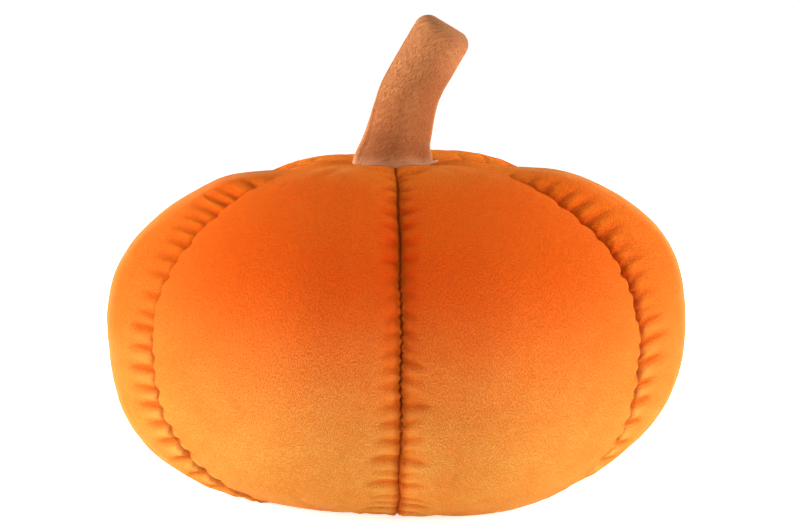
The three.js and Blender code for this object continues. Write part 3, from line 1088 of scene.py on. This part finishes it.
def orange_plush(group):
    """The body's plush: deep orange on the upper shoulders, golden towards the underside as painted
    light from below, with painted highlights, shade and sheen.
    """
    material, bench, shader = new_material("orange_plush")
    tufts, flecks, patches = pile_parts(bench, group, BODY_PILE)
    from_seam, from_stem, fold = map(bench.stored, ("from_seam", "from_stem", "fold"))
    place = bench.put("ShaderNodeTexCoord").outputs["Object"]
    split = bench.put("ShaderNodeSeparateXYZ", {"Vector": place})
    height = split.outputs["Z"]
    aside = bench.math("ABSOLUTE", split.outputs["X"])

    # Painted light: the plush turns golden towards the underside, standing in for the light from
    # the floor below and the sheen there
    low = bench.spread(height, *UNDERSIDE_LIGHT_HEIGHT)
    colour_and_painted_light = bench.blend(low, DEEP_ORANGE, UNDERSIDE_LIGHT_GOLD)
    # Painted sheen: the top behind the stem is paler gold, as sheen shows where it turns away
    crown_sheen = bench.times(
        bench.spread(height, *CROWN_HEIGHT),
        bench.spread(from_stem, *CROWN_REACH),
        bench.spread(split.outputs["Y"], *CROWN_BEHIND),
    )
    colour_and_painted_light = bench.blend(crown_sheen, colour_and_painted_light, CROWN_SHEEN_GOLD)
    # Painted light: the sides turn paler gold, standing in for the light of the side lamps
    colour_and_painted_light = bench.blend(bench.spread(aside, *SIDE_LIGHT_PART), colour_and_painted_light, SIDE_LIGHT_GOLD)

    colour_and_painted_light = bench.blend(bench.times(patches, BODY_PATCH_SHARE), colour_and_painted_light, BRUSHED_ORANGE)
    grain = bench.blend(bench.spread(height, *GRAIN_HEIGHT), LOWER_GRAIN, UPPER_GRAIN)
    colour_and_painted_light = bench.blend(bench.spread(tufts, *ORANGE_BETWEEN_TUFTS), colour_and_painted_light, grain, "MULTIPLY")
    colour_and_painted_light = bench.blend(bench.times(flecks, BODY_FLECK_SHARE), colour_and_painted_light, FLECK_ORANGE)

    # Painted highlight on the ridges of the gathers and painted shade in their valleys
    ridge = bench.blend(low, RIDGE_HIGHLIGHT_ORANGE, RIDGE_HIGHLIGHT_GOLD)
    colour_and_painted_light = bench.blend(bench.spread(fold, *RIDGE_HIGHLIGHTS), colour_and_painted_light, ridge)
    colour_and_painted_light = bench.blend(bench.spread(fold, *VALLEY_SHADE), colour_and_painted_light, VALLEY_SHADE_RED)
    edge = bench.times(sheen_edge(bench, BODY_SHEEN_EDGE),
                       bench.spread(from_seam, *SHEEN_FROM_SEAM))
    colour_and_painted_light = bench.blend(edge, colour_and_painted_light, SHEEN_GOLD)

    # Painted shade: a deeper red beside the front seam, standing in for the shade between the lobes
    seam_shade_tint = bench.times(
        bench.spread(from_seam, *SEAM_SHADE_REACH),
        bench.spread(aside, *SEAM_SHADE_MIDDLE),
        bench.spread(from_stem, *SEAM_SHADE_FROM_STEM),
    )
    colour_and_painted_light = bench.blend(seam_shade_tint, colour_and_painted_light, bench.blend(low, SEAM_SHADE_RED, SEAM_SHADE_GOLD))
    # Painted shade: dark red right at the seams, in the crease between the panels
    crease_shade = bench.times(
        bench.spread(from_seam, *CREASE_SHADE_REACH),
        bench.spread(aside, *CREASE_SHADE_ASIDE),
        bench.spread(height, *CREASE_SHADE_HEIGHT),
    )
    colour_and_painted_light = bench.blend(crease_shade, colour_and_painted_light, CREASE_SHADE_RED)
    finish_plush(bench, shader, colour_and_painted_light, tufts, flecks, BODY_FINISH)
    return material


def brown_plush(group):
    """The stem's plush: pale tan at the end, deeper brown below, a pale rim at the foot, and
    painted shade on its lower right side.
    """
    material, bench, shader = new_material("stem_plush")
    tufts, flecks, patches = pile_parts(bench, group, STEM_PILE)
    from_seam, above_foot, right_side = map(
        bench.stored, ("from_seam", "above_foot", "right_side"))
    colour_and_painted_light = bench.blend(bench.spread(above_foot, *PALE_STEM_END), LOWER_BROWN, UPPER_BROWN)
    colour_and_painted_light = bench.blend(bench.times(patches, STEM_PATCH_SHARE), colour_and_painted_light, BRUSHED_TAN)
    colour_and_painted_light = bench.blend(bench.spread(tufts, *BROWN_BETWEEN_TUFTS), colour_and_painted_light, BROWN_GRAIN)
    colour_and_painted_light = bench.blend(bench.times(flecks, STEM_FLECK_SHARE), colour_and_painted_light, FLECK_TAN)
    # Painted shade: the lower right side of the stem is darker brown
    turned = bench.times(
        bench.spread(right_side, *STEM_RIGHT_SIDE),
        bench.spread(above_foot, *STEM_LOWER_PART),
    )
    colour_and_painted_light = bench.blend(turned, colour_and_painted_light, SHADED_SIDE_BROWN)
    colour_and_painted_light = bench.blend(bench.spread(above_foot, *FOOT_RIM), colour_and_painted_light, FOOT_TAN)
    colour_and_painted_light = bench.blend(sheen_edge(bench, STEM_SHEEN_EDGE), colour_and_painted_light, SHEEN_TAN)
    colour_and_painted_light = bench.blend(bench.spread(from_seam, *STEM_SEAM_LINE), colour_and_painted_light, SEAM_BROWN)
    finish_plush(bench, shader, colour_and_painted_light, tufts, flecks, STEM_FINISH)
    return material


def dark_thread():
    """Sewing thread, dark partly as its own colour and partly as painted shade where it lies deep
    between the panels.
    """
    material, bench, shader = new_material("dark_thread")
    place = bench.put("ShaderNodeTexCoord").outputs["Object"]
    twist = bench.put("ShaderNodeTexNoise", {"Vector": place, "Scale": 900.0, "Detail": 1.0})
    tone = bench.blend(twist.outputs["Fac"], THREAD_DARK, THREAD_PALE)
    bench.feed(shader.inputs["Base Color"], tone)
    shader.inputs["Roughness"].default_value = 0.85
    bump = bench.put("ShaderNodeBump", {"Height": twist.outputs["Fac"], "Strength": 0.4,
                                        "Distance": 0.0002})
    bench.feed(shader.inputs["Normal"], bump.outputs[0])
    return material


def pale_floor():
    """A plain pale floor, far wider than the view."""
    steps = np.linspace(-FLOOR_HALF, FLOOR_HALF, FLOOR_STEPS + 1)
    vertices = [(x, y, 0.0) for y in steps for x in steps]
    row = FLOOR_STEPS + 1
    faces = [(i, i + 1, i + 1 + row, i + row)
             for start in range(0, row * FLOOR_STEPS, row)
             for i in range(start, start + FLOOR_STEPS)]
    mesh = bpy.data.meshes.new("floor")
    mesh.from_pydata(vertices, [], faces)
    floor = in_scene("floor", mesh)
    material, bench, shader = new_material("floor_paint")
    place = bench.put("ShaderNodeTexCoord").outputs["Object"]
    faint = bench.put("ShaderNodeTexNoise", {"Vector": place, "Scale": 3.0, "Detail": 3.0})
    tone = bench.blend(faint.outputs["Fac"], FLOOR_GREY, FLOOR_PALE)
    bench.feed(shader.inputs["Base Color"], tone)
    shader.inputs["Roughness"].default_value = 0.8
    shader.inputs["Emission Color"].default_value = WHITE
    shader.inputs["Emission Strength"].default_value = FLOOR_GLOW
    mesh.materials.append(material)


def soft_light(lamp):
    """A large soft lamp."""
    light = bpy.data.lights.new(lamp.name, "AREA")
    light.shape = "RECTANGLE"
    light.size = light.size_y = lamp.size
    light.energy = lamp.power
    holder = in_scene(lamp.name, light)
    holder.location = (lamp.x, lamp.y, lamp.z)
    aim = Vector(LIGHT_AIM) - Vector(holder.location)
    holder.rotation_euler = aim.to_track_quat("-Z", "Y").to_euler()


def studio():
    """Soft light from the sides, the top and the front, in a pale room."""
    world = bpy.data.worlds.new("pale room")
    world.use_nodes = True
    background = world.node_tree.nodes["Background"]
    background.inputs["Color"].default_value = WHITE
    background.inputs["Strength"].default_value = ROOM_LIGHT
    bpy.context.scene.world = world
    for lamp in LAMPS:
        soft_light(lamp)
    bpy.context.scene.view_settings.view_transform = "Standard"


def photo_camera():
    """The camera at the photograph's viewing angle."""
    middle = Vector((0, 0, CAMERA_TARGET_HEIGHT))
    level = math.cos(CAMERA_ELEVATION)
    back = Vector((
        math.sin(CAMERA_AZIMUTH) * level,
        -math.cos(CAMERA_AZIMUTH) * level,
        math.sin(CAMERA_ELEVATION),
    ))
    right = Vector((0, 0, 1)).cross(back).normalized()
    up = back.cross(right)
    place = middle + back * CAMERA_DISTANCE
    aim = middle + right * CAMERA_AIM_RIGHT + up * CAMERA_AIM_UP
    lens = bpy.data.cameras.new("camera")
    lens.sensor_fit = "HORIZONTAL"
    lens.sensor_width = 36
    lens.lens = CAMERA_LENS
    lens.clip_end = 100
    camera = in_scene("camera", lens)
    camera.location = place
    camera.rotation_euler = (aim - place).to_track_quat("-Z", "Y").to_euler()
    bpy.context.scene.camera = camera


def make_cushion():
    """Body, thread and stem, with their materials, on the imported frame."""
    pile = plush_pile_group()
    body, points, grid = sewn_body()
    body.data.materials.append(orange_plush(pile))
    thread = sewing_thread(points, grid)
    thread.data.materials.append(dark_thread())
    stem = sewn_stem(body)
    stem.data.materials.append(brown_plush(pile))
    for piece in (body, thread, stem):
        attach(piece, "root")
    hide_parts("body")
    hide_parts("stem")


photo_camera()
make_cushion()
pale_floor()
studio()
